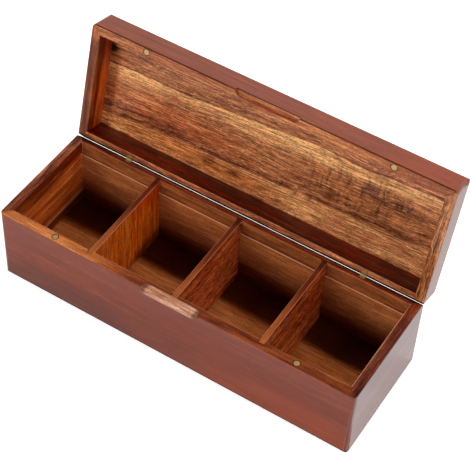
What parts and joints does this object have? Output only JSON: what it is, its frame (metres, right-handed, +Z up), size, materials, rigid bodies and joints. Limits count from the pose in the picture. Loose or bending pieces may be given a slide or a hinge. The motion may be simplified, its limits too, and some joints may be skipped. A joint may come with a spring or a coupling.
{
  "type": "tea bag organizer box",
  "caption": "Low rectangular wooden box with lift-out dividers, a thumb pull and a hinged lid that stands open on its stop; sorts tea bags or small packets.",
  "frame": {"origin": "centre of the box's footprint, on the surface that it stands on", "axes": "+X along the box's length towards its right end, -Y towards the front with the thumb pull, +Z up"},
  "size_m": [0.33, 0.1622, 0.1773],
  "materials": {
    "box_wood": "red-brown satin lacquer with a lengthwise grain",
    "divider_wood": "orange-brown satin lacquer with a streaky grain",
    "panel_wood": "golden brown satin lacquer with dark curly streaks",
    "pull_wood": "light tan satin lacquer",
    "hinge_brass": "plain satin brass",
    "pin_steel": "plain steel",
    "magnet": "pale gold plating"
  },
  "bodies": {
    "box": {"front_wall": "box_wood", "back_wall": "box_wood", "left_wall": "box_wood", "right_wall": "box_wood", "bottom_panel": "box_wood", "thumb_pull": "pull_wood", "box_magnet_left": "magnet", "box_magnet_right": "magnet", "hinge_lower_left": "hinge_brass", "hinge_lower_right": "hinge_brass", "hinge_pin_left": "pin_steel", "hinge_pin_right": "pin_steel"},
    "lid": {"lid_front_wall": "box_wood", "lid_back_wall": "box_wood", "lid_left_wall": "box_wood", "lid_right_wall": "box_wood", "lid_panel": "panel_wood", "lid_magnet_left": "magnet", "lid_magnet_right": "magnet", "hinge_upper_left": "hinge_brass", "hinge_upper_right": "hinge_brass"},
    "divider_left": {"divider_left": "divider_wood"},
    "divider_middle": {"divider_middle": "divider_wood"},
    "divider_right": {"divider_right": "divider_wood"}
  },
  "joints": [
    {"name": "lid_hinge", "type": "hinge", "parent": "box", "child": "lid", "pos_m": [0, 0.0516, 0.07315], "axis": [-1, 0, 0], "range_deg": [-104.5, 0]},
    {"name": "divider_left_lift", "type": "slide", "parent": "box", "child": "divider_left", "axis": [0, 0, 1], "range_m": [0, 0.0005]},
    {"name": "divider_middle_lift", "type": "slide", "parent": "box", "child": "divider_middle", "axis": [0, 0, 1], "range_m": [0, 0.0005]},
    {"name": "divider_right_lift", "type": "slide", "parent": "box", "child": "divider_right", "axis": [0, 0, 1], "range_m": [0, 0.0005]}
  ]
}
